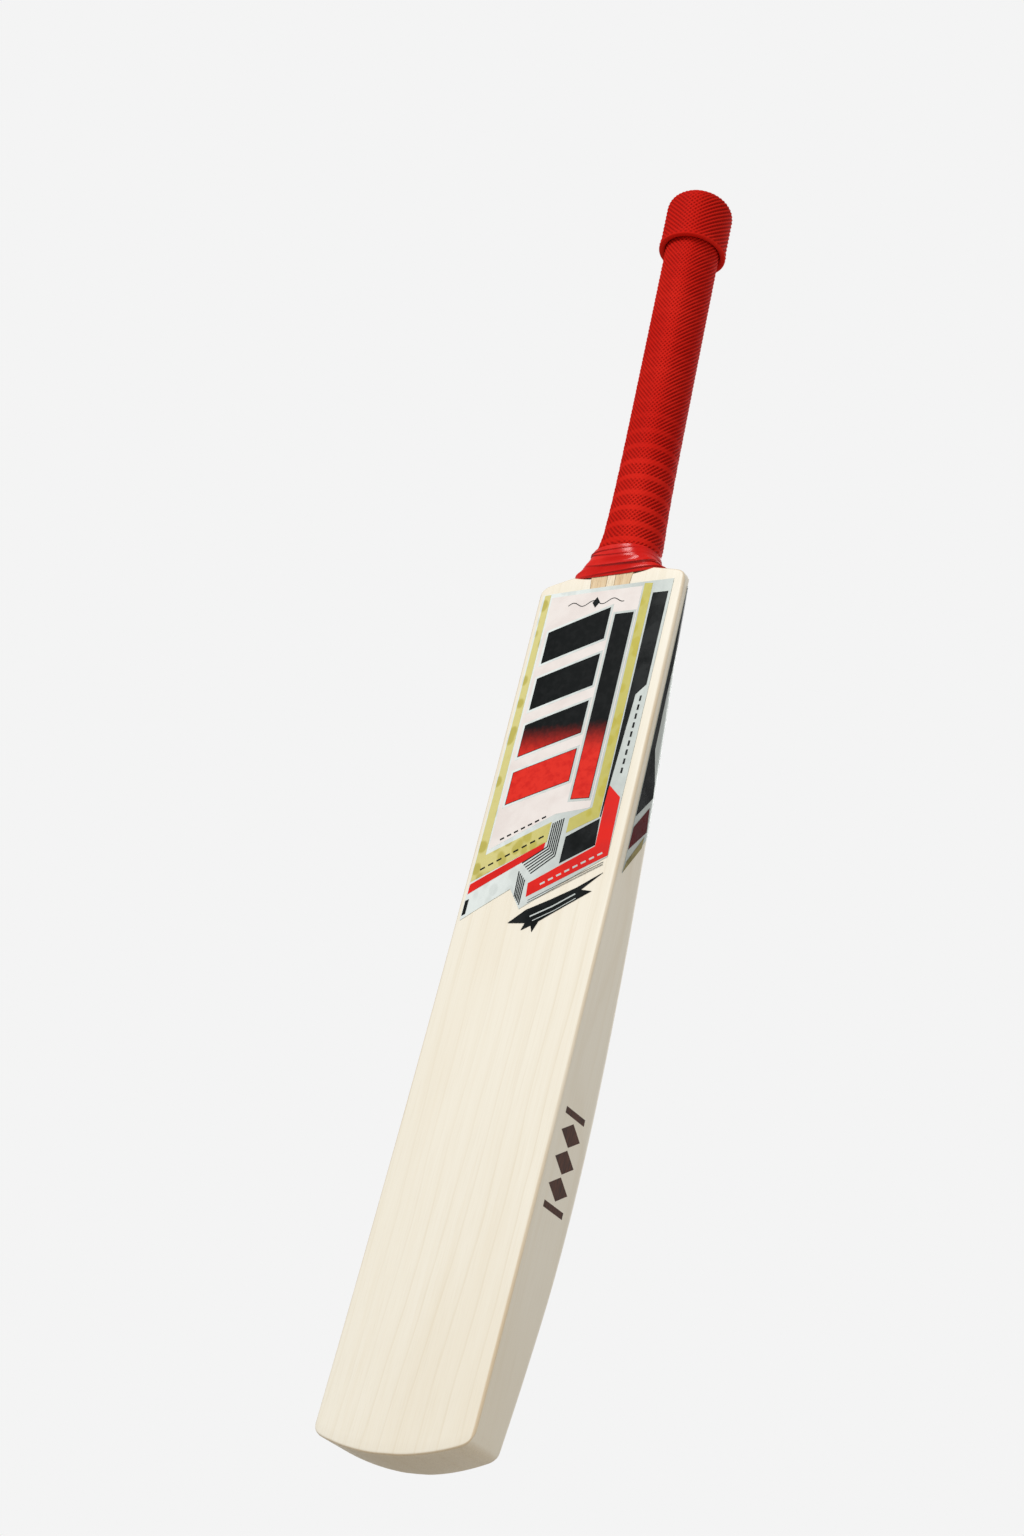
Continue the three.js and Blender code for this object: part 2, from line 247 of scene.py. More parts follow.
def closed_loft(name, rings, material, soft_angle=None):
    """A closed skin over rings, an array of rows by columns by 3; the end rings are points."""
    rows, columns = rings.shape[:2]
    faces = grid_faces(rows, columns)
    points = rings.reshape(-1, 3)
    obj = new_mesh(name, points, faces, material, soft_angle)
    tidy = bmesh.new()
    tidy.from_mesh(obj.data)
    bmesh.ops.remove_doubles(tidy, verts=tidy.verts, dist=1e-6)
    bmesh.ops.recalc_face_normals(tidy, faces=tidy.faces)
    tidy.to_mesh(obj.data)
    tidy.free()
    shade(obj, soft_angle)
    return obj


# ---- Blade ----
def section_columns():
    """How each column of the blade's skin sits in a section: its kind and its place in it."""
    half = []
    half += [("face", t) for t in (*np.linspace(0.02, 0.95, 16), 0.988)]
    half += [("front corner", a) for a in np.radians(np.linspace(-90, 0, 8))]
    half += [("edge", t) for t in (0.02, 0.25, 0.5, 0.75, 0.98)]
    half += [("back corner", a) for a in np.radians(np.linspace(0, 60, 6))]
    half += [("back", t) for t in np.linspace(1, 0.012, 30)[1:]]
    left = [(kind, value, -1) for kind, value in reversed(half)]
    return [(kind, value, 1) for kind, value in half] + left


def section_point(kind, value, side, z):
    """x and y of one column at heights z."""
    edge = edge_depth(z)
    back_radius = np.minimum(BACK_RADIUS, edge * 0.35)
    front_radius = np.minimum(FRONT_RADIUS, edge * 0.35)
    edge_start = face_y(z) + FACE_CROWN + front_radius
    edge_end = face_y(z) + edge - back_radius
    if kind == "face":
        x = (HALF_WIDTH - front_radius) * value
        y = front_y(x, z)
    elif kind == "front corner":
        x = HALF_WIDTH - front_radius * (1 - math.cos(value))
        y = edge_start + front_radius * math.sin(value)
    elif kind == "edge":
        x = HALF_WIDTH + 0 * z
        y = edge_start + (edge_end - edge_start) * value
    elif kind == "back corner":
        x = HALF_WIDTH - back_radius * (1 - math.cos(value))
        y = edge_end + back_radius * math.sin(value)
    else:
        x = (HALF_WIDTH - back_radius * 0.5) * value
        y = back_y(x, z)
    return side * x, y


def toe_height(x):
    """The lowest height of the blade at x: a level foot, an arc and rounded corners."""
    x = np.abs(x)
    centre = math.sqrt(TOE_RADIUS**2 - TOE_FLAT**2)
    corner_x = HALF_WIDTH - TOE_CORNER
    arc = centre - np.sqrt(TOE_RADIUS**2 - np.clip(x, TOE_FLAT, corner_x) ** 2)
    corner_start = centre - math.sqrt(TOE_RADIUS**2 - corner_x**2)
    corner_knee = centre - math.sqrt(TOE_RADIUS**2 - HALF_WIDTH**2)
    t = 1 - np.sqrt(np.clip(1 - (x - corner_x) / TOE_CORNER, 0, 1))
    corner = (
        (1 - t) ** 2 * corner_start
        + 2 * t * (1 - t) * corner_knee
        + t**2 * (corner_knee + TOE_CORNER)
    )
    return np.where(x > corner_x, corner, np.maximum(arc, 0))


def shoulder_height(x):
    """The top of the blade at x: rounded corners, sloping shoulders and a seat for the tape."""
    x = np.abs(x)
    slope = SHOULDER_RISE / (HALF_WIDTH - SHOULDER_TOP)
    corner_x = HALF_WIDTH - SHOULDER_CORNER
    corner_top = SHOULDER_HEIGHT + SHOULDER_CORNER * slope
    t = np.sqrt(np.clip((HALF_WIDTH - x) / SHOULDER_CORNER, 0, 1))
    corner = (
        (1 - t) ** 2 * (SHOULDER_HEIGHT - SHOULDER_CORNER)
        + 2 * t * (1 - t) * SHOULDER_HEIGHT
        + t**2 * corner_top
    )
    ramp = SHOULDER_HEIGHT + (HALF_WIDTH - x) * slope
    seat = TAPE_FRONT - GAP + TAPE_SIDE_RISE * (x / TAPE_SEAT_REACH) ** 3
    return np.where(x > corner_x, corner, np.minimum(ramp, seat))


def neck_rise(x, y):
    """How far the wood sweeps up into the handle, inside the tape."""
    across, deep, front, rear = core_halves(NECK_HEIGHT)
    offset = y - axis_y(NECK_HEIGHT)
    power = np.where(offset < 0, front, rear)
    reach = (np.abs(x) / across) ** power + (np.abs(offset) / deep) ** power
    return NECK_RISE * smooth((NECK_START - reach) / NECK_FADE)


def inward(ring, amount):
    """A ring moved inwards by an amount, in its own plane."""
    along = np.roll(ring, -1, axis=0) - np.roll(ring, 1, axis=0)
    length = np.hypot(along[:, 0], along[:, 1])
    normal = np.stack([along[:, 1] / length, -along[:, 0] / length], -1)
    moved = ring.copy()
    moved[:, :2] -= normal * amount
    return moved


def column_places(columns):
    """x of each column where the blade is deep, so that its corners have their full radius."""
    return np.array([section_point(*column, np.float64(DEEP_HEIGHT))[0] for column in columns])


def ring_through(columns, z):
    """The blade's ring with each column at its own height."""
    ring = np.empty((len(columns), 3))
    for i, column in enumerate(columns):
        ring[i, 0], ring[i, 1] = section_point(*column, z[i])
    ring[:, 2] = z
    return ring


def ring_at(columns, end_height, inset, rise):
    """The blade's ring a little way in from an end, following that end's outline."""
    ring = ring_through(columns, end_height(column_places(columns)) + rise)
    if inset:
        ring = inward(ring, inset)
        ring[:, 2] = end_height(ring[:, 0]) + rise
    return ring


def rim_rings(columns, end_height, angles, rise_sign):
    """The rounded rim of an end: a ring for each angle, from 90 degrees on the side to 0."""
    return [
        ring_at(
            columns,
            end_height,
            RIM_RADIUS * (1 - math.cos(a)),
            rise_sign * RIM_RADIUS * (1 - math.sin(a)),
        )
        for a in angles
    ]


def cap_rings(rim, end_height, centre_y, scales, extra_rise=None):
    """Rings that shrink from a rim to a point and cover an end."""
    rings = []
    for scale in scales:
        ring = rim.copy()
        ring[:, 0] = rim[:, 0] * scale
        ring[:, 1] = centre_y + (rim[:, 1] - centre_y) * scale
        ring[:, 2] = end_height(ring[:, 0])
        if extra_rise:
            ring[:, 2] += extra_rise(ring[:, 0], ring[:, 1])
        rings.append(ring)
    return rings


def build_blade(material):
    columns = section_columns()
    fillet = np.radians([90, 68, 45, 22])
    toe_rim = rim_rings(columns, toe_height, fillet, 1)
    top_rim = rim_rings(columns, shoulder_height, fillet[::-1], -1)
    side_rows = 96
    x = column_places(columns)
    low = toe_height(x) + RIM_RADIUS
    high = shoulder_height(x) - RIM_RADIUS
    sides = [ring_through(columns, low + (high - low) * t) for t in np.linspace(0, 1, side_rows)]
    toe_scales = [0, 0.12, 0.25, 0.4, 0.55, 0.7, 0.8, 0.88, 0.94, 0.98]
    top_scales = np.concatenate([[0.985], np.linspace(0.96, 0, 32)])
    toe_centre = face_y(0) + TOE_CAP_DEPTH
    top_centre = face_y(TOP_CAP_HEIGHT) + TOP_CAP_DEPTH
    rings = cap_rings(toe_rim[0], toe_height, toe_centre, toe_scales)
    rings += toe_rim + sides + top_rim
    rings += cap_rings(top_rim[-1], shoulder_height, top_centre, top_scales, neck_rise)
    return closed_loft("willow_blade", np.array(rings), material, soft_angle=32)


def cut_splice(blade):
    """Cuts the V for the cane through the top of the blade."""
    half = (WEDGE_TOP - SPLICE_TIP) * SPLICE_SLOPE
    outline = [(0, SPLICE_TIP), (half, WEDGE_TOP), (-half, WEDGE_TOP)]
    front = [(x, WEDGE_FRONT, z) for x, z in outline]
    back = [(x, WEDGE_BACK, z) for x, z in outline]
    faces = [(0, 1, 2), (5, 4, 3), (0, 3, 4, 1), (1, 4, 5, 2), (2, 5, 3, 0)]
    wedge = new_mesh("splice_wedge", front + back, faces, None)
    cut = blade.modifiers.new("splice", "BOOLEAN")
    cut.object = wedge
    cut.operation = "DIFFERENCE"
    cut.solver = "MANIFOLD"
    apply_modifiers(blade)
    bpy.data.objects.remove(wedge)
    shade(blade, 32)


def apply_modifiers(obj):
    depsgraph = bpy.context.evaluated_depsgraph_get()
    finished = bpy.data.meshes.new_from_object(obj.evaluated_get(depsgraph))
    obj.modifiers.clear()
    obj.data = finished


# ---- Handle ----
def core_halves(z):
    """Half-width and half-depth of the wooden core, and the powers of its front and back."""
    climb = np.maximum(z - FLARE_HEIGHT, 0)
    taper = TAPER_WIDTH * np.exp(-climb / TAPER_FADE)
    across = CORE_RADIUS + taper + FLARE_WIDTH * np.exp(-climb / FLARE_FADE)
    deep = CORE_RADIUS + THROAT_DEPTH * np.exp(-(((z - THROAT_HEIGHT) / THROAT_FADE) ** 2))
    roundness = smooth((z - FLARE_HEIGHT) / (ROUND_HEIGHT - FLARE_HEIGHT))
    front = FRONT_POWER + (2 - FRONT_POWER) * roundness
    rear = ROOF_POWER + (2 - ROOF_POWER) * roundness
    return across, deep, front, rear


def handle_points(angle, z, growth):
    """Points round the handle at an angle from its front, a distance outside the core."""
    across, deep, front, rear = core_halves(z)
    sine, cosine = np.sin(angle), np.cos(angle)
    bend = 2 / np.where(cosine < 0, rear, front)
    x = (across + growth) * np.sign(sine) * np.abs(sine) ** bend
    y = -(deep + growth) * np.sign(cosine) * np.abs(cosine) ** bend
    return np.stack(np.broadcast_arrays(x, axis_y(z) + y, z), -1)


def build_tube(name, angles, heights, growth, bore, material):
    """A sleeve round the handle; growth(angle, z) is its outside and bore its plainer inside."""
    angle, height = np.meshgrid(angles, heights)
    outer = handle_points(angle, height, growth(angle, height))
    inner_heights = np.unique(np.append(heights[::STEPS_PER_CELL], heights[-1]))[::-1]
    inner = handle_points(*np.meshgrid(angles, inner_heights), bore)
    rings = np.concatenate([outer, inner, outer[:1]])
    rows, columns = rings.shape[:2]
    points = rings[:-1].reshape(-1, 3)
    faces = (np.array(grid_faces(rows, columns)) % len(points)).tolist()
    return new_mesh(name, points, faces, material)


# ---- Grip pattern: a net of crossing ribs, with smooth hoops over it ----
NET_COLUMNS = 40
NET_HEIGHT = 3.1
STEPS_PER_CELL = 5
NET_SEAM = math.radians(22)
RIB_HEIGHT = 0.6
RIB_TOP = 0.08
RIB_SLOPE = 0.30
RIB_SINK = 0.62
SEAM_WIDTH = 0.05
SEAM_FADE = 0.35
HOOP_BOTTOM = 580.0
HOOP_TOP = 815.0
HOOP_PITCH = 11.55
HOOP_REFERENCE = 657.6
HOOP_WIDTH = 3.8
HOOP_RAISE = 0.2
HOOP_STRENGTH = 0.52
HOOP_FADE = 0.40
HOOP_FADE_LENGTH = 60.0
HOOP_FADE_LEAD = 20.0
SLEEVE_GAP = 0.05
SLEEVE_HEM = 0.3
SLEEVE_OVERLAP = 3.0


def nearest_line(t):
    """Distance from t to the nearest whole number, from 0 to 0.5."""
    return np.abs(t - np.round(t))


def net_ribs(angle, z):
    """Height of the net's ribs, from 0 in the pits to 1.

    The two sets of ribs are equally strong along two seams, one at NET_SEAM and one opposite.
    Away from the seams one set sinks, so the net turns into slanting slots.
    """
    around = angle * NET_COLUMNS / (2 * math.pi)
    up = z / NET_HEIGHT
    leaning = np.sin(angle - NET_SEAM)
    left = 1 - RIB_SINK * smooth((leaning - SEAM_WIDTH) / SEAM_FADE)
    right = 1 - RIB_SINK * smooth((-leaning - SEAM_WIDTH) / SEAM_FADE)
    left_ribs = left * (1 - smooth((nearest_line(around + up) - RIB_TOP) / RIB_SLOPE))
    right_ribs = right * (1 - smooth((nearest_line(around - up) - RIB_TOP) / RIB_SLOPE))
    return np.maximum(left_ribs, right_ribs)


def hoops(z):
    """How much of a smooth hoop there is at z, from 0 to 1."""
    offset = nearest_line((z - HOOP_REFERENCE) / HOOP_PITCH) * HOOP_PITCH
    band = 1 - smooth((offset - HOOP_WIDTH * 0.32) / (HOOP_WIDTH * 0.3))
    inside = (z > HOOP_BOTTOM - HOOP_WIDTH) & (z < HOOP_TOP + HOOP_WIDTH)
    climb = smooth((z - HOOP_REFERENCE + HOOP_FADE_LEAD) / HOOP_FADE_LENGTH)
    strength = HOOP_STRENGTH - HOOP_FADE * climb
    return band * inside * strength


def mark_painted_shade(obj, pits):
    """Keeps how deep in a pit or under a fold each outer point is; the colour darkens with it as
    painted shade.
    """
    values = np.zeros(len(obj.data.vertices), np.float32)
    values[:pits.size] = pits.ravel()
    obj.data.attributes.new("painted_shade", "FLOAT", "POINT").data.foreach_set("value", values)


def net_angles():
    count = NET_COLUMNS * STEPS_PER_CELL
    return np.arange(count) * 2 * math.pi / count


def build_sleeve(material):
    angles = net_angles()
    step = NET_HEIGHT / STEPS_PER_CELL
    heights = np.arange(GRIP_BOTTOM, CUFF_BOTTOM + SLEEVE_OVERLAP, step)

    def growth(angle, z):
        band = hoops(z)
        ribs = net_ribs(angle, z) * (1 - band)
        hem = smooth((z - GRIP_BOTTOM) / 1.2)
        raised = GRIP_OUTER - RIB_HEIGHT + RIB_HEIGHT * np.maximum(ribs, band)
        thin = GRIP_INNER + SLEEVE_HEM
        return thin + (raised + HOOP_RAISE * band - GRIP_INNER - SLEEVE_HEM) * hem

    bore = GRIP_INNER + SLEEVE_GAP
    obj = build_tube("grip_sleeve_net", angles, heights, growth, bore, material)
    # Depth in the pits, away from the hoops, kept for painted shade in the colour
    angle, height = np.meshgrid(angles, heights)
    band = hoops(height)
    pits = (1 - np.maximum(net_ribs(angle, height), band)) * (1 - band)
    mark_painted_shade(obj, pits)
    return obj


def build_cuff(material):
    """The rolled cuff: domed top, open mouth, a slightly proud lower lip and the same net."""
    angles = net_angles()
    step = NET_HEIGHT / STEPS_PER_CELL
    crown_radius = 8.0
    lip = 0.5
    lip_height = 2.6
    lip_spread = 1.8
    seat = 18.45
    wall = [(seat, CUFF_BOTTOM + 1.2), (19.2, CUFF_BOTTOM + 0.3), (20.4, CUFF_BOTTOM)]
    wall += [(21.6, CUFF_BOTTOM + 0.15), (22.3, CUFF_BOTTOM + 0.6)]
    wall += [(CUFF_RADIUS, z) for z in np.arange(CUFF_BOTTOM + 1.3, CUFF_TOP - crown_radius, step)]
    for a in np.radians(np.linspace(3, 90, 20)):
        radius = CUFF_RADIUS - crown_radius * (1 - math.cos(a))
        wall.append((radius, CUFF_TOP - crown_radius * (1 - math.sin(a))))
    wall += [(r, CUFF_TOP - 0.02 * (14.2 - r)) for r in (13.6, 13.0, 12.4, 11.8, 11.2, 10.6)]
    wall += [(CUFF_MOUTH + 0.9, CUFF_TOP - 0.25), (CUFF_MOUTH + 0.3, CUFF_TOP - 0.8)]
    wall += [(CUFF_MOUTH, CUFF_TOP - 1.8), (CUFF_MOUTH, HANDLE_TOP + 0.35)]
    wall += [(12.0, HANDLE_TOP + 0.3), (seat, HANDLE_TOP + 0.3)]
    wall = np.array(wall)
    radius, height = wall[:, 0], wall[:, 1]
    along = np.concatenate([[0], np.cumsum(np.hypot(np.diff(radius), np.diff(height)))])
    along += height[5] - along[5]
    tangent = np.gradient(wall, axis=0)
    tangent /= np.hypot(tangent[:, 0], tangent[:, 1])[:, None]
    patterned = smooth((along - along[4]) / 1.5) * (radius > CUFF_MOUTH + 1.5)
    patterned[-4:] = 0
    angle, run = np.meshgrid(angles, along)
    band = np.exp(-(((height - CUFF_BOTTOM - lip_height) / lip_spread) ** 2))[:, None]
    pits = (1 - net_ribs(angle, run)) * patterned[:, None] * (1 - 0.15 * band)
    outward = -RIB_HEIGHT * pits + lip * band * (radius > 20)[:, None]
    radii = radius[:, None] + outward * tangent[:, 1][:, None]
    rises = height[:, None] - outward * tangent[:, 0][:, None]
    points = np.stack([
        radii * np.sin(angle),
        axis_y(rises) - radii * np.cos(angle),
        rises,
    ], -1)
    count = len(points)
    faces = np.array(grid_faces(count + 1, len(angles))) % (count * len(angles))
    obj = new_mesh("grip_cuff_net", points, faces.tolist(), material)
    # The pit depth is also kept for painted shade in the colour
    mark_painted_shade(obj, pits)
    return obj


# Height above the tape's lower edge, tilt, place round the handle and size of each fold
TAPE_FOLDS = (
    (1.6, 0.6, 0.2, 0.55),
    (4.8, 1.6, 1.9, 0.75),
    (8.6, 2.4, 4.4, 0.70),
    (11.8, -1.9, 5.2, 0.60),
    (15.2, 1.4, 0.9, 0.50),
)


def build_tape(material):
    """Glossy tape wound round the throat, with overlapping turns, small creases and painted shade
    under each fold's edge.
    """
    count = 300
    angles = np.arange(count) * 2 * math.pi / count
    shares = np.linspace(0, 1, 110)
    angle, share = np.meshgrid(angles, shares)
    bottom = TAPE_FRONT + TAPE_SIDE_RISE * np.sin(angle) ** 2
    height = bottom + (TAPE_TOP - bottom) * share
    climb = np.clip((height - TAPE_FRONT) / (TAPE_FULL_HEIGHT - TAPE_FRONT), 0, 1)
    seat = GAP + GRIP_OUTER * climb
    wrinkle = np.zeros_like(height)
    fold_shade = np.zeros_like(height)
    for rise, tilt, turn, size in TAPE_FOLDS:
        drift = tilt * np.sin(angle + turn) + 0.4 * np.sin(3 * angle + 2 * turn)
        above = height - (bottom + rise + drift)
        strength = 0.55 + 0.45 * np.sin(2 * angle + 3 * turn)
        fold = smooth((above + 0.5) / 0.5) * np.exp(-np.maximum(above, 0) / 1.6)
        wrinkle += 1.15 * size * strength * fold
        # Painted shade: a dark line just under each fold's lower edge
        fold_shade = np.maximum(fold_shade, strength * np.exp(-(((above + 0.45) / 0.4) ** 2)))
    hem = smooth(share / 0.03) * smooth((1 - share) / 0.02)
    growth = seat + 0.10 + (0.28 + wrinkle) * hem
    outer = handle_points(angle, height, growth)
    inner = handle_points(angle, height, seat)[::-1]
    points = np.concatenate([outer, inner])
    faces = np.array(grid_faces(len(points) + 1, count)) % (len(points) * count)
    obj = new_mesh("grip_tape_wraps", points, faces.tolist(), material, soft_angle=60)
    mark_painted_shade(obj, fold_shade)
    return obj


# ---- Thin films: stickers, their printed layers and the burnt mark ----
FILM_STEP = 8.0
FILM_STEP_ACROSS = 4.0
FILM_STEP_ROUND_CORNER = 0.8
FACE_LABEL = [(-50, 556), (47, 556), (46, 363), (-8, 331), (-18, 345), (-50, 326)]


def on_face(x, z, lift):
    return x, front_y(x, z) - lift, z


def on_back(x, z, lift):
    return x, back_y(x, z) + lift, z


def edge_end(z):
    """Where the flat of the edge turns into the back corner."""
    edge = edge_depth(z)
    return face_y(z) + edge - np.minimum(BACK_RADIUS, edge * 0.35)


def edge_wrap(side):
    """Places films by depth and height on an edge, going on round the back corner."""

    def place(depth, z, lift):
        radius = np.minimum(BACK_RADIUS, edge_depth(z) * 0.35)
        turn = np.clip((depth - edge_end(z)) / radius, 0, math.radians(60))
        past = max(depth - edge_end(z) - radius * math.radians(60), 0)
        x = HALF_WIDTH - radius * (1 - np.cos(turn)) + lift * np.cos(turn) - past
        y = min(depth, edge_end(z)) + (radius + lift) * np.sin(turn)
        if past > 0:
            y = back_y(x, z) + lift
        return side * x, y, z

    return place


def film(
    name, outlines, place, lift, thickness, material, across=FILM_STEP_ACROSS
):
    """A thin solid sheet with the given outlines, laid on a surface a lift above it."""
    sheet = bmesh.new()
    for outline in outlines:
        corners = [sheet.verts.new((u, z, 0)) for u, z in outline]
        sheet.faces.new(corners)
    bmesh.ops.triangulate(sheet, faces=sheet.faces)
    for axis in (0, 1):
        values = [v.co[axis] for v in sheet.verts]
        step = FILM_STEP if axis else across
        for cut in np.arange(math.ceil(min(values) / step), max(values) / step) * step:
            normal = Vector((1, 0, 0)) if axis == 0 else Vector((0, 1, 0))
            parts = sheet.verts[:] + sheet.edges[:] + sheet.faces[:]
            bmesh.ops.bisect_plane(sheet, geom=parts, plane_co=normal * cut, plane_no=normal)
    bmesh.ops.recalc_face_normals(sheet, faces=sheet.faces)
    lower = sheet.faces[:]
    raised = bmesh.ops.extrude_face_region(sheet, geom=lower, use_keep_orig=True)
    for item in raised["geom"]:
        if isinstance(item, bmesh.types.BMVert):
            item.co.z = thickness
    for vertex in sheet.verts:
        u, z, above = vertex.co
        vertex.co = Vector(place(u, z, lift + above)) * MM
        vertex.co.y += ROW_SHIFT * MM
    bmesh.ops.recalc_face_normals(sheet, faces=sheet.faces)
    mesh = bpy.data.meshes.new(name)
    sheet.to_mesh(mesh)
    sheet.free()
    obj = bpy.data.objects.new(name, mesh)
    bpy.context.scene.collection.objects.link(obj)
    mesh.materials.append(material)
    shade(obj, 40)
    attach(obj, ROOT)
    return obj


def stroke(points, width):
    """The outline of a line of constant width through points."""
    points = np.array(points, float)
    along = np.diff(points, axis=0)
    along /= np.hypot(along[:, 0], along[:, 1])[:, None]
    sides = np.stack([-along[:, 1], along[:, 0]], -1)
    offsets = np.empty_like(points)
    offsets[0], offsets[-1] = sides[0], sides[-1]
    middle = sides[:-1] + sides[1:]
    offsets[1:-1] = 2 * middle / (middle**2).sum(1)[:, None]
    left = points + offsets * width / 2
    right = points - offsets * width / 2
    return [tuple(p) for p in left] + [tuple(p) for p in right[::-1]]


def grown(outline, amount):
    """A polygon with its sides moved outwards by an amount."""
    points = np.array(outline, float)
    area = 0.5 * np.sum(
        points[:, 0] * np.roll(points[:, 1], -1) - points[:, 1] * np.roll(points[:, 0], -1)
    )
    along = np.roll(points, -1, axis=0) - points
    along /= np.hypot(along[:, 0], along[:, 1])[:, None]
    normals = np.stack([along[:, 1], -along[:, 0]], -1) * np.sign(area)
    before = np.roll(normals, 1, axis=0)
    bisector = normals + before
    bisector = 2 * bisector / (bisector**2).sum(1)[:, None]
    reach = np.minimum(1, 2.2 / np.hypot(bisector[:, 0], bisector[:, 1]))
    return [tuple(p) for p in points + bisector * reach[:, None] * amount]


def dashes(start, end, count, width):
    """A dashed line from one point to another."""
    start, end = np.array(start, float), np.array(end, float)
    along = (end - start) / np.hypot(*(end - start))
    pitch = np.hypot(*(end - start)) / count
    marks = []
    for i in range(count):
        middle = start + along * pitch * (i + 0.5)
        marks.append(stroke([middle - along * pitch * 0.3, middle + along * pitch * 0.3], width))
    return marks


# ---- Materials ----
def srgb(red, green, blue):
    """A colour given from 0 to 255, for a shader."""
    scaled = [value / 255 for value in (red, green, blue)]
    linear = [v / 12.92 if v <= 0.04045 else ((v + 0.055) / 1.055) ** 2.4 for v in scaled]
    return (*linear, 1.0)


class Graph:
    """A material's node tree, put together a node at a time."""

    def __init__(self, name):
        self.material = bpy.data.materials.new(name)
        self.material.use_nodes = True
        self.tree = self.material.node_tree
        self.surface = self.tree.nodes["Principled BSDF"]
        self.place = self.add("TexCoord").outputs["Object"]

    def add(self, kind, inputs=None, **settings):
        node = self.tree.nodes.new("ShaderNode" + kind)
        for name, value in settings.items():
            setattr(node, name, value)
        self.fill(node, inputs or {})
        return node

    def fill(self, node, inputs):
        for name, value in inputs.items():
            if isinstance(value, bpy.types.NodeSocket):
                self.tree.links.new(value, node.inputs[name])
            else:
                node.inputs[name].default_value = value

    def math(self, operation, *values, clamp=False):
        inputs = dict(enumerate(values))
        return self.add("Math", inputs, operation=operation, use_clamp=clamp).outputs[0]

    def scaled(self, *scale, turn=(0, 0, 0)):
        """Position, stretched by a scale along each axis, in cells per metre."""
        inputs = {"Vector": self.place, "Scale": scale, "Rotation": turn}
        return self.add("Mapping", inputs).outputs[0]

    def noise(self, vector, detail=3.0, roughness=0.5, distortion=0.0):
        inputs = {
            "Vector": vector,
            "Scale": 1.0,
            "Detail": detail,
            "Roughness": roughness,
            "Distortion": distortion,
        }
        return self.add("TexNoise", inputs).outputs[0]

    def ramp(self, value, *stops):
        node = self.add("ValToRGB", {"Fac": value})
        while len(node.color_ramp.elements) < len(stops):
            node.color_ramp.elements.new(0.5)
        for element, (position, colour) in zip(node.color_ramp.elements, stops):
            element.position = position
            element.color = colour
        return node.outputs[0]

    def step(self, value, low, high, start=0.0, end=1.0):
        inputs = {
            "Value": value,
            "From Min": low,
            "From Max": high,
            "To Min": start,
            "To Max": end,
        }
        return self.add("MapRange", inputs, interpolation_type="SMOOTHSTEP").outputs[0]

    def mix(self, share, first, second, blend="MIX"):
        inputs = {0: share, 6: first, 7: second}
        return self.add("Mix", inputs, data_type="RGBA", blend_type=blend).outputs[2]

    def bump(self, height, distance, strength=1.0, under=None):
        inputs = {"Height": height, "Distance": distance, "Strength": strength}
        if under:
            inputs["Normal"] = under
        return self.add("Bump", inputs).outputs[0]

    def parts(self):
        return self.add("SeparateXYZ", {"Vector": self.place}).outputs

    def finish(self, **inputs):
        for name, value in inputs.items():
            socket = name.replace("_", " ").title().replace("Ior", "IOR")
            self.fill(self.surface, {socket: value})
        return self.material


def willow_material():
    g = Graph("willow_wood")
    x, y = g.parts()[:2]
    wander = g.noise(g.scaled(9, 9, 2.6), detail=2)
    ripple = g.noise(g.scaled(60, 60, 14), detail=2)
    shifted = g.math("MULTIPLY_ADD", wander, 0.034, x)
    shifted = g.math("MULTIPLY_ADD", ripple, 0.0030, shifted)
    shifted = g.math("MULTIPLY_ADD", y, 0.22, shifted)
    ring = g.math("FRACT", g.math("MULTIPLY", shifted, 1 / 0.0124))
    line = g.ramp(
        ring,
        (0.0, (0.10, 0.10, 0.10, 1)),
        (0.55, (0.0, 0.0, 0.0, 1)),
        (0.86, (0.26, 0.26, 0.26, 1)),
        (0.955, (1, 1, 1, 1)),
        (1.0, (0.10, 0.10, 0.10, 1)),
    )
    faint = g.noise(g.scaled(22, 22, 3.0), detail=3)
    line = g.math("MULTIPLY", line, g.step(faint, 0.28, 0.72, 0.25, 1.0))
    fibre = g.noise(g.scaled(1500, 1500, 26), detail=4, roughness=0.6)
    streak = g.noise(g.scaled(260, 260, 5), detail=4, roughness=0.6)
    cloud = g.noise(g.scaled(26, 26, 6), detail=3)
    pale, tan = srgb(238, 231, 214), srgb(216, 200, 170)
    colour = g.mix(g.math("MULTIPLY", line, 0.40), pale, tan)
    colour = g.mix(g.step(streak, 0.42, 0.80, 0.0, 0.20), colour, srgb(224, 209, 180))
    colour = g.mix(g.step(cloud, 0.40, 0.75, 0.0, 0.40), colour, srgb(230, 218, 194))
    colour = g.mix(g.step(fibre, 0.45, 0.80, 0.0, 0.18), colour, srgb(208, 192, 160))
    normal = g.add("NewGeometry").outputs["Normal"]
    facing, down = g.add("SeparateXYZ", {"Vector": normal}).outputs[1:3]
    # Down-facing surfaces, the toe's end grain, get a darker end-grain colour: darker end grain,
    # partly painted shade on the underside
    underside_grain_and_shade = g.step(down, -0.35, -0.9)
    corner = g.math("MULTIPLY", g.step(facing, -0.97, -0.80), g.step(facing, -0.15, -0.45))
    worn = g.math("MULTIPLY", corner, g.step(cloud, 0.30, 0.62, 0.20, 0.60))
    colour = g.mix(worn, colour, srgb(206, 176, 130))
    pores = g.noise(g.scaled(1400, 1400, 1400), detail=3)
    end_colour = g.mix(g.step(pores, 0.4, 0.7), srgb(214, 194, 160), srgb(188, 165, 130))
    colour = g.mix(g.math("MULTIPLY", underside_grain_and_shade, 0.5), colour, end_colour)
    relief = g.math("MULTIPLY_ADD", line, -0.5, fibre)
    bump = g.bump(relief, 0.00010, 0.5)
    rough = g.step(streak, 0.3, 0.7, 0.50, 0.64)
    return g.finish(base_color=colour, roughness=rough, normal=bump, ior=1.45)


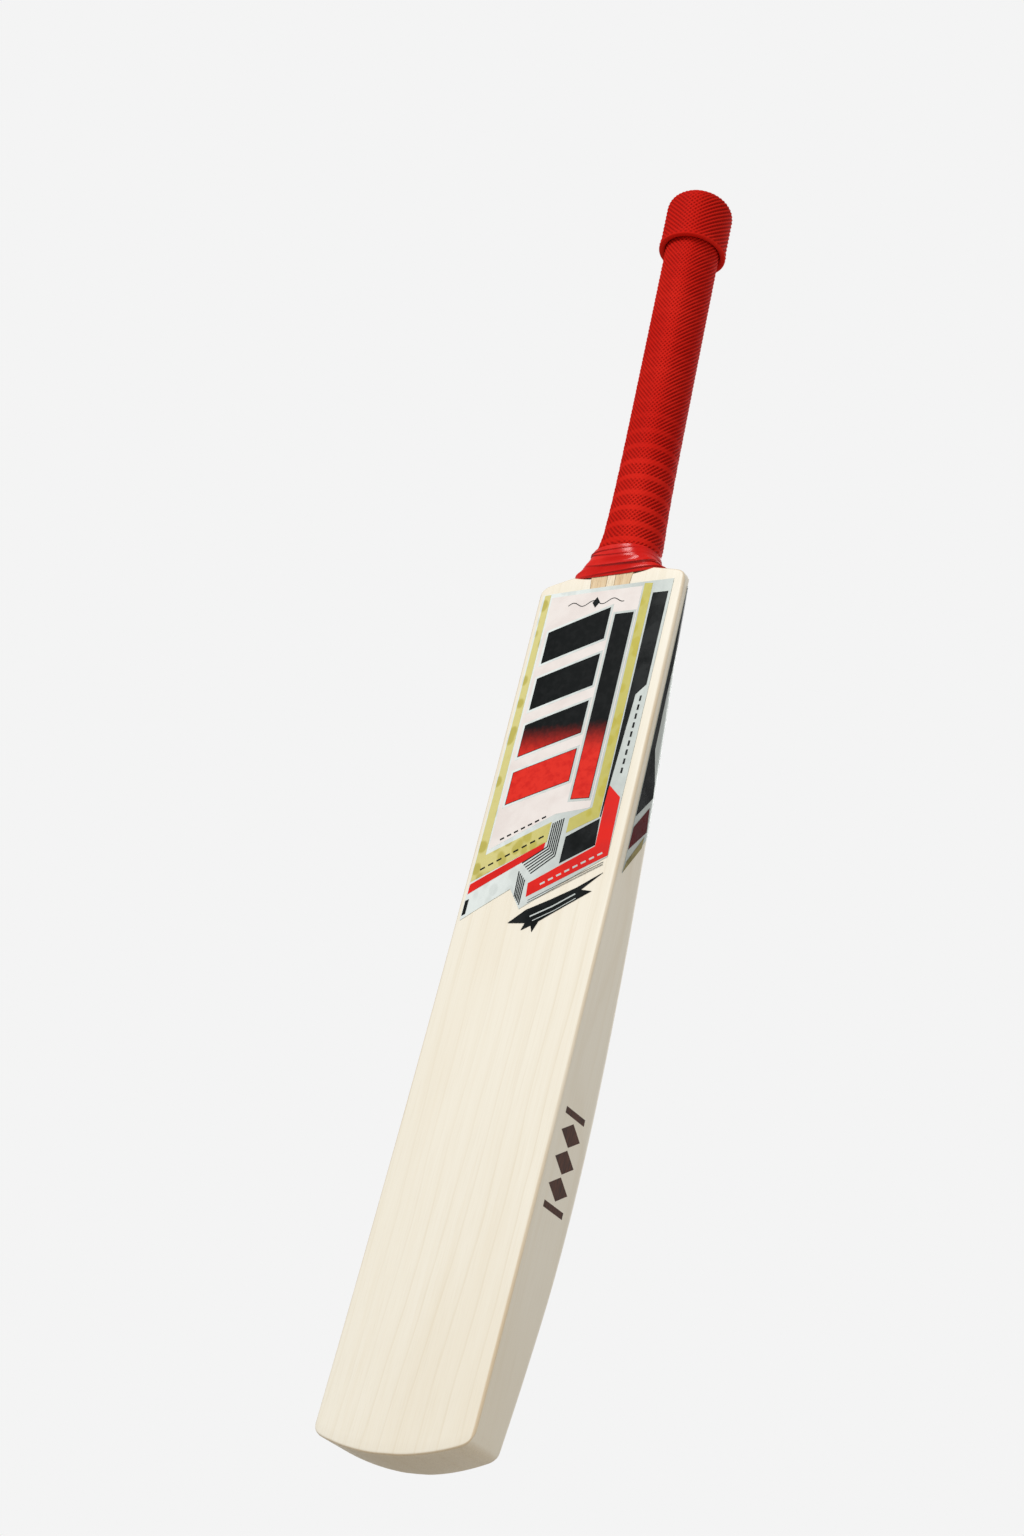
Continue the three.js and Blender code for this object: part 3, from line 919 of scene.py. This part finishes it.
def cane_material(name, pale, dark):
    g = Graph(name)
    fibre = g.noise(g.scaled(900, 900, 22), detail=4, roughness=0.65)
    patch = g.noise(g.scaled(130, 130, 9), detail=2)
    vessel = g.add("TexVoronoi", {"Vector": g.scaled(1300, 1300, 60), "Scale": 1.0}).outputs[0]
    colour = g.ramp(fibre, (0.3, dark), (0.62, pale))
    colour = g.mix(g.step(patch, 0.4, 0.7, 0, 0.35), colour, dark)
    colour = g.mix(g.step(vessel, 0.30, 0.12, 0, 0.35), colour, srgb(96, 66, 34))
    bump = g.bump(fibre, 0.00015, 0.6)
    return g.finish(base_color=colour, roughness=0.55, normal=bump)


def spring_material():
    g = Graph("spring_rubber")
    grain = g.noise(g.scaled(900, 900, 900), detail=4)
    bloom = g.noise(g.scaled(90, 90, 40), detail=2)
    colour = g.ramp(grain, (0.3, srgb(24, 22, 21)), (0.7, srgb(46, 43, 41)))
    colour = g.mix(g.step(bloom, 0.45, 0.75, 0, 0.5), colour, srgb(70, 66, 62))
    return g.finish(base_color=colour, roughness=0.75, normal=g.bump(grain, 0.0001, 0.6))


def twine_material():
    g = Graph("twine")
    x, y, z = g.parts()
    angle = g.math("ARCTAN2", x, g.math("SUBTRACT", 0.0, y))
    turns = g.math("MULTIPLY_ADD", angle, 1 / (2 * math.pi), g.math("MULTIPLY", z, 1 / 0.0012))
    cord = g.math("ABSOLUTE", g.math("SINE", g.math("MULTIPLY", turns, math.pi)))
    fluff = g.noise(g.scaled(1800, 1800, 2600), detail=4)
    colour = g.ramp(fluff, (0.3, srgb(150, 120, 78)), (0.7, srgb(214, 190, 148)))
    # Painted shade: darker in the grooves between the cord's turns
    colour = g.mix(g.step(cord, 0.4, 0.0), colour, srgb(84, 62, 38))
    height = g.math("MULTIPLY_ADD", fluff, 0.3, cord)
    return g.finish(base_color=colour, roughness=0.85, normal=g.bump(height, 0.0004, 0.8))


def grip_material():
    g = Graph("grip_rubber_red")
    painted_shade = g.add("Attribute", attribute_name="painted_shade").outputs["Fac"]
    grain = g.noise(g.scaled(1600, 1600, 1600), detail=3)
    wear = g.noise(g.scaled(34, 34, 20), detail=3)
    colour = g.mix(g.step(wear, 0.35, 0.7), srgb(203, 29, 18), srgb(213, 38, 26))
    colour = g.mix(g.step(grain, 0.45, 0.8, 0, 0.25), colour, srgb(196, 22, 14))
    # Painted shade: the colour darkens towards deep red with the depth in the net's pits
    colour = g.mix(g.math("MULTIPLY", painted_shade, 0.85), colour, srgb(116, 5, 4))
    rough = g.step(wear, 0.3, 0.7, 0.66, 0.78)
    normal = g.bump(grain, 0.00006, 0.4)
    return g.finish(
        base_color=colour, roughness=rough, normal=normal, specular_ior_level=0.03
    )


def tape_material():
    g = Graph("tape_red")
    patch = g.noise(g.scaled(60, 60, 120), detail=3)
    crease = g.noise(g.scaled(240, 240, 900), detail=3, distortion=0.6)
    fold = g.add("Attribute", attribute_name="painted_shade").outputs["Fac"]
    colour = g.mix(g.step(patch, 0.35, 0.7), srgb(200, 24, 18), srgb(216, 36, 27))
    # Painted shade: the fold attribute darkens the colour in a line under each fold's edge
    colour = g.mix(g.math("MULTIPLY", fold, 0.7), colour, srgb(112, 6, 6))
    rough = g.step(patch, 0.3, 0.7, 0.20, 0.30)
    normal = g.bump(crease, 0.00012, 0.35)
    return g.finish(
        base_color=colour, roughness=rough, normal=normal, specular_ior_level=0.15
    )


def ink_material(name, colour, second, rough):
    """Printed film: a slow drift between two colours, with a fine press grain."""
    g = Graph(name)
    drift = g.noise(g.scaled(60, 60, 60), detail=4, roughness=0.6)
    speck = g.noise(g.scaled(2400, 2400, 2400), detail=2)
    mixed = g.mix(g.step(drift, 0.35, 0.68), colour, second)
    mixed = g.mix(g.step(speck, 0.45, 0.8, 0, 0.125), mixed, second)
    wear = g.step(drift, 0.3, 0.7, rough - 0.05, rough + 0.07)
    height = g.math("MULTIPLY_ADD", speck, 0.4, drift)
    normal = g.bump(height, 0.00005, 0.35)
    return g.finish(
        base_color=mixed, roughness=wear, normal=normal, specular_ior_level=0.1
    )


def foil_material(name, left, right, patch, patchy=0.7):
    """Foil with rounded darker patches, paler on the bat's left than on its right."""
    g = Graph(name)
    inputs = {"Vector": g.scaled(120, 120, 90), "Scale": 1.0, "Smoothness": 0.4}
    cells = g.add("TexVoronoi", inputs, feature="SMOOTH_F1").outputs[0]
    drift = g.noise(g.scaled(260, 260, 200), detail=3)
    colour = g.mix(g.step(g.parts()[0], -0.045, 0.036), left, right)
    colour = g.mix(g.step(cells, 0.46, 0.30, 0, patchy), colour, patch)
    colour = g.mix(g.step(drift, 0.5, 0.8, 0, 0.4 * patchy), colour, patch)
    rough = g.step(drift, 0.3, 0.7, 0.30, 0.38)
    normal = g.bump(drift, 0.00006, 0.4)
    return g.finish(
        base_color=colour,
        roughness=rough,
        metallic=0.15,
        normal=normal,
        specular_ior_level=0.2,
    )


def fade_material(low, high):
    """Ink that goes from red to black up the bat, mottled where they meet."""
    g = Graph("ink_red_to_black")
    height = g.parts()[2]
    mottle = g.noise(g.scaled(500, 500, 500), detail=4)
    height = g.math("MULTIPLY_ADD", mottle, 0.006, height)
    share = g.step(height, low * MM, high * MM)
    grain = g.noise(g.scaled(240, 240, 240), detail=3)
    red = g.mix(g.step(grain, 0.4, 0.7), srgb(222, 48, 36), srgb(206, 36, 28))
    black = g.mix(g.step(grain, 0.4, 0.7), srgb(15, 18, 18), srgb(24, 26, 26))
    normal = g.bump(grain, 0.00005, 0.35)
    colour = g.mix(share, red, black)
    return g.finish(
        base_color=colour, roughness=0.25, normal=normal, specular_ior_level=0.1
    )


def burnt_material():
    g = Graph("burnt_wood")
    char = g.noise(g.scaled(700, 700, 120), detail=4)
    colour = g.ramp(char, (0.3, srgb(44, 22, 12)), (0.7, srgb(82, 44, 26)))
    return g.finish(base_color=colour, roughness=0.72, normal=g.bump(char, 0.0001, 0.6))


def floor_material(radius):
    """A pale floor seen only from above, fading out before its rim."""
    g = Graph("studio_floor")
    dust = g.noise(g.scaled(9, 9, 9), detail=4)
    colour = g.mix(g.step(dust, 0.35, 0.7), srgb(243, 244, 244), srgb(246, 247, 246))
    g.fill(g.surface, {"Base Color": colour, "Roughness": 0.85})
    away = g.add("VectorMath", {0: g.place}, operation="LENGTH").outputs["Value"]
    fade = g.step(away, radius * 0.22, radius * 0.72)
    hidden = g.math("MAXIMUM", fade, g.add("NewGeometry").outputs["Backfacing"])
    clear = g.add("BsdfTransparent").outputs[0]
    shown = g.add("MixShader", {0: hidden, 1: g.surface.outputs[0], 2: clear}).outputs[0]
    g.tree.links.new(shown, g.tree.nodes["Material Output"].inputs["Surface"])
    return g.material


# ---- Body ----
willow = willow_material()
blade = build_blade(willow)
cut_splice(blade)
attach(blade, ROOT)
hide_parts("blade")

grip_rubber = grip_material()
sleeve = build_sleeve(grip_rubber)
cuff = build_cuff(grip_rubber)
tape = build_tape(tape_material())
for piece, slot, node in (
    (sleeve, "grip_rubber", "grip_sleeve"),
    (cuff, "grip_rubber", "grip_cuff"),
    (tape, "tape_film", "grip_tape"),
):
    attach(piece, ROOT)
    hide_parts(node)

cane_tan = cane_material("cane_tan", srgb(224, 201, 162), srgb(202, 170, 124))
cane_pale = cane_material("cane_pale", srgb(236, 222, 194), srgb(222, 202, 166))
spring_rubber = spring_material()
twine = twine_material()
for name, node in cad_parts.items():
    if name.startswith("cane"):
        kept = cane_pale if name.endswith("middle") else cane_tan
    elif name.startswith("rubber_spring"):
        kept = spring_rubber
    elif name == "twine_binding":
        kept = twine
    else:
        continue
    node.data.materials.clear()
    node.data.materials.append(kept)

# ---- Artwork ----
FILM_LIFT = 0.02
BASE_TOP = 0.32
BASE_THICKNESS = BASE_TOP - FILM_LIFT
INK = 0.04
INK_GAP = 0.005
silver = foil_material(
    "film_silver", srgb(226, 232, 228), srgb(182, 188, 183), srgb(192, 198, 193), 0.35
)
cream = ink_material("film_cream", srgb(234, 226, 220), srgb(226, 216, 210), 0.30)
black = ink_material("ink_black", srgb(15, 18, 18), srgb(26, 29, 29), 0.25)
red = ink_material("ink_red", srgb(224, 40, 32), srgb(208, 30, 26), 0.25)
dark_red = ink_material("ink_dark_red", srgb(96, 6, 9), srgb(76, 4, 7), 0.25)
gold = foil_material("gold_foil", srgb(214, 205, 134), srgb(184, 176, 92), srgb(176, 164, 58))
# A darker copy of the gold foil for the edge stickers: painted shade on the edges
edge_gold_painted_shade = foil_material("edge_foil_painted_shade", srgb(152, 140, 84), srgb(142, 130, 76), srgb(112, 102, 52))
fading = fade_material(436, 462)
burnt = burnt_material()


def layer(number):
    """How far above the surface a printed layer starts, counting from 1."""
    return BASE_TOP + INK_GAP + (number - 1) * (INK + INK_GAP)


def print_face(name, outlines, number, material):
    return film(name, outlines, on_face, layer(number), INK, material)


face_base = film("face_label_base", [FACE_LABEL], on_face, FILM_LIFT, BASE_THICKNESS, silver)
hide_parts("face_label")

PANEL = [(-42.4, 553), (25.4, 553), (25.4, 397.6), (23.6, 396.7), (1.6, 394.4), (-42.2, 373)]
print_face("face_panel", [PANEL], 1, cream)
LEFT_GOLD = [
    (-48.5, 555.5),
    (-43.8, 555.5),
    (-43.2, 369.5),
    (0.2, 389),
    (0.2, 375.4),
    (-49.5, 351.5),
]
RIGHT_GOLD = [
    (26.5, 554.8),
    (32.4, 554.3),
    (33.5, 390),
    (12.5, 380.7),
    (12.5, 390.5),
    (27, 397),
]
print_face("face_gold_border", [LEFT_GOLD, RIGHT_GOLD], 2, gold)

OUTER_BAR = [
    (34, 547),
    (45, 547),
    (44.8, 480.4),
    (38.6, 474),
    (35.6, 412),
    (34.8, 390),
    (34, 390),
]
LOWER_BLOCK = [(13, 378), (34.4, 389), (35.5, 371), (13, 360)]
CORNER_BAR = [(-49.5, 339), (-47, 340), (-47, 330), (-49.5, 328.8)]
print_face("face_black_bars", [OUTER_BAR, LOWER_BLOCK, CORNER_BAR], 2, black)
CHEVRON = [(35, 412), (45, 402.6), (46, 363.6), (-5, 338.8), (-6, 348), (35.7, 370.3)]
LEFT_RED = [(-49.2, 350), (-0.6, 375.3), (-0.8, 370), (-49.2, 343.3)]
print_face("face_red_bars", [CHEVRON, LEFT_RED], 2, red)

HATCH_WIDTH = 0.75
hatch = []
for i in range(6):
    hatch.append(stroke([
        (1.6 + 1.4 * i, 388 + 0.6 * i),
        (1.6 + 1.4 * i, 372 - 1.3 * i),
        (-14.0 + 1.6 * i, 362 - 1.5 * i),
    ], HATCH_WIDTH))
for i in range(5):
    hatch.append(stroke([
        (-14.6 + 1.4 * i, 356.5 - 1.5 * i),
        (-13.6 + 1.2 * i, 339.5 - 1.4 * i),
    ], HATCH_WIDTH))
print_face("face_hatch", hatch, 3, black)

# Four leaning bars and an upright one fill the panel, each with a silver rim and a dark line
BLOCKS = []
for rise in range(4):
    low = 404 + rise * 33.5
    BLOCKS.append([
        (-38, low),
        (5, low + 13),
        (5, low + 35),
        (-38, low + 22),
    ])
UPRIGHT = [(10, 404), (22.8, 404), (22.8, 534), (10, 534)]
print_face("face_block_rims", [grown(block, 2.0) for block in BLOCKS + [UPRIGHT]], 2, silver)
print_face("face_block_lines", [grown(block, 0.4) for block in BLOCKS + [UPRIGHT]], 3, black)
print_face("face_blocks", BLOCKS + [UPRIGHT], 4, fading)

marks = dashes((-36, 379), (-4, 393.5), 7, 1.1)
marks += dashes((-45.5, 359), (-2, 380), 8, 1.2)
marks += dashes((41.5, 418), (42.8, 474), 9, 1.3)
print_face("face_dashes", marks, 3, black)
print_face("face_red_dashes", dashes((2, 346.2), (43, 366), 8, 1.3), 3, silver)
wave = [(x, 545 + 1.6 * math.sin((x + 28) * 0.42)) for x in np.arange(-28, 14.5, 0.75)]
lozenge = [(-7, 541), (-4.2, 545), (-7, 549), (-9.8, 545)]
print_face("face_ornament", [stroke(wave, 0.55), lozenge], 3, black)
rules = [stroke([(-3, 336.4 - d), (44, 359.4 - d)], 0.35) for d in (0.0, 1.6)]
print_face("face_rules", rules, 2, black)

FLASH = [
    (-13.5, 322.0),
    (-2.5, 330.2),
    (13.0, 336.0),
    (29.5, 343.0),
    (45.5, 352.3),
    (33.0, 341.6),
    (40.6, 340.4),
    (24.0, 331.0),
    (8.5, 322.2),
    (5.4, 315.2),
    (3.6, 319.6),
    (-2.6, 316.8),
    (-1.0, 321.4),
]
flash = film("flash_banner", [FLASH], on_face, FILM_LIFT, BASE_TOP, black)
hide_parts("flash_sticker")
lines = [
    stroke([(1.5, 325.5), (16, 331.5), (30, 339)], 0.9),
    stroke([(4.0, 322.6), (17.5, 328.4), (31, 336)], 0.5),
]
film("flash_lines", lines, on_face, BASE_TOP + 0.03, INK, silver)

BACK_LABEL = [(-34, 540), (34, 540), (34, 420), (0, 392), (-34, 420)]
back_base = film("back_label_base", [BACK_LABEL], on_back, FILM_LIFT, BASE_THICKNESS, silver)
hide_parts("back_label")
back_border = [(-32, 538), (32, 538), (32, 421), (0, 394.6), (-32, 421)]
back_panel = [(-27, 533), (27, 533), (27, 424), (0, 401.6), (-27, 424)]
film("back_gold_border", [back_border], on_back, layer(1), INK, gold)
film("back_panel", [back_panel], on_back, layer(2), INK, cream)
back_bars = []
for rise in range(3):
    low = 418 + rise * 36
    lower = [(-21, low + 12), (0, low), (21, low + 12)]
    back_bars.append(lower + [(x, z + 20) for x, z in lower[::-1]])
film("back_bar_lines", [grown(bar, 0.4) for bar in back_bars], on_back, layer(3), INK, black)
film("back_bars", back_bars, on_back, layer(4), INK, fading)

for side, suffix in ((1, "right"), (-1, "left")):
    wrap = edge_wrap(side)
    back_line = [(float(edge_end(z) + 5.4), float(z)) for z in np.arange(403, 554, 10.0)]
    base = [(6.5, 393), (3.5, 553)] + back_line[::-1] + [(22.5, 385), (7, 355)]
    bar = [(3.5, 552), (7, 552), (8.5, 480), (10, 440), (17.6, 421), (19.4, 412), (6.9, 393)]
    block = [(18.3, 404.8), (21, 389.7), (7.1, 370.6), (7.2, 385.7)]
    tip = [(19.8, 385.9), (19.8, 378.5), (7, 355.6), (8.3, 363.6)]
    layers = (
        ("film", base, FILM_LIFT, BASE_THICKNESS, silver),
        ("black", bar, layer(3), INK, black),
        ("red", block, layer(3), INK, dark_red),
        ("gold", tip, layer(3), INK, edge_gold_painted_shade),
    )
    for part, outline, lift, thickness, finish in layers:
        piece = film(
            f"edge_{part}_{suffix}",
            [outline],
            wrap,
            lift,
            thickness,
            finish,
            FILM_STEP_ROUND_CORNER,
        )
        if part == "film":
            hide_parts(f"edge_sticker_{suffix}")

# The burnt mark: two bars across the edge with three lozenges between them
LOZENGE_HALF = 7.2
burnt_shapes = [[(8, z), (28, z), (28, z + 4), (8, z + 4)] for z in (148, 204)]
for z in (162, 178, 194):
    burnt_shapes.append([(8, z), (18, z - LOZENGE_HALF), (28, z), (18, z + LOZENGE_HALF)])
film("burnt_mark", burnt_shapes, edge_wrap(1), 0.01, 0.03, burnt)

# ---- Floor, light and camera ----
FLOOR_RADIUS = 4.0
FLOOR_DROP = 0.0006
bpy.ops.mesh.primitive_circle_add(vertices=96, radius=FLOOR_RADIUS, fill_type="TRIFAN")
floor = bpy.context.object
floor.name = "studio_floor"
floor.location.z = CAD_BOX[0].z - FLOOR_DROP
floor.data.materials.append(floor_material(FLOOR_RADIUS))
floor.visible_diffuse = False
floor.visible_shadow = False

low, high = CAD_BOX
middle = (low + high) / 2


def direction(azimuth, elevation):
    """The way from the bat to something at this azimuth, from -Y towards +X, and elevation."""
    a, e = math.radians(azimuth), math.radians(elevation)
    return Vector((math.sin(a) * math.cos(e), -math.cos(a) * math.cos(e), math.sin(e)))


def area_light(name, azimuth, elevation, distance, size, power):
    data = bpy.data.lights.new(name, "AREA")
    data.shape = "DISK"
    data.size = size
    data.energy = power
    light = bpy.data.objects.new(name, data)
    bpy.context.scene.collection.objects.link(light)
    light.location = middle + direction(azimuth, elevation) * distance
    light.rotation_euler = direction(azimuth, elevation).to_track_quat("Z", "Y").to_euler()
    light.visible_camera = False
    return light


area_light("key", -12, 32, 4.2, 1.6, 137)
side_fill = area_light("side_fill", 84, 4, 3.0, 2.0, 17)
side_fill.data.color = (1.0, 0.93, 0.84)
area_light("back_fill", 175, 30, 3.0, 2.0, 34)
bounce = area_light("bounce", 30, -62, 3.0, 2.0, 10)
bounce.data.color = (1.0, 0.92, 0.82)

world = bpy.data.worlds.new("studio")
bpy.context.scene.world = world
world.use_nodes = True
sky = world.node_tree
background = sky.nodes["Background"]
seen = sky.nodes.new("ShaderNodeBackground")
seen.inputs["Color"].default_value = srgb(244, 244, 244)
background.inputs["Color"].default_value = srgb(244, 245, 247)
background.inputs["Strength"].default_value = 0.42
path = sky.nodes.new("ShaderNodeLightPath")
either = sky.nodes.new("ShaderNodeMixShader")
sky.links.new(path.outputs["Is Camera Ray"], either.inputs[0])
sky.links.new(background.outputs[0], either.inputs[1])
sky.links.new(seen.outputs[0], either.inputs[2])
sky.links.new(either.outputs[0], sky.nodes["World Output"].inputs["Surface"])
bpy.context.scene.view_settings.view_transform = "Standard"

# The photograph looks up at the bat from its right-hand side, with the camera rolled
CAMERA_AZIMUTH = 39.39
CAMERA_ELEVATION = -26.54
CAMERA_ROLL = 14.86
CAMERA_DISTANCE = 1.6892
AIM_OFFSET = Vector((-0.0343, -0.0257, -0.0036))
camera_data = bpy.data.cameras.new("camera")
camera_data.lens = 65.09
camera_data.sensor_width = 36
camera_data.dof.use_dof = False
camera_data.clip_start = 0.01
camera = bpy.data.objects.new("camera", camera_data)
bpy.context.scene.collection.objects.link(camera)
toward = direction(CAMERA_AZIMUTH, CAMERA_ELEVATION)
camera.location = middle + AIM_OFFSET + toward * CAMERA_DISTANCE
level_right = (-toward).cross(Vector((0, 0, 1))).normalized()
level_up = level_right.cross(-toward)
roll = math.radians(CAMERA_ROLL)
right = level_right * math.cos(roll) + level_up * math.sin(roll)
up = toward.cross(right)
camera.rotation_euler = Matrix((right, up, toward)).transposed().to_euler()
bpy.context.scene.camera = camera
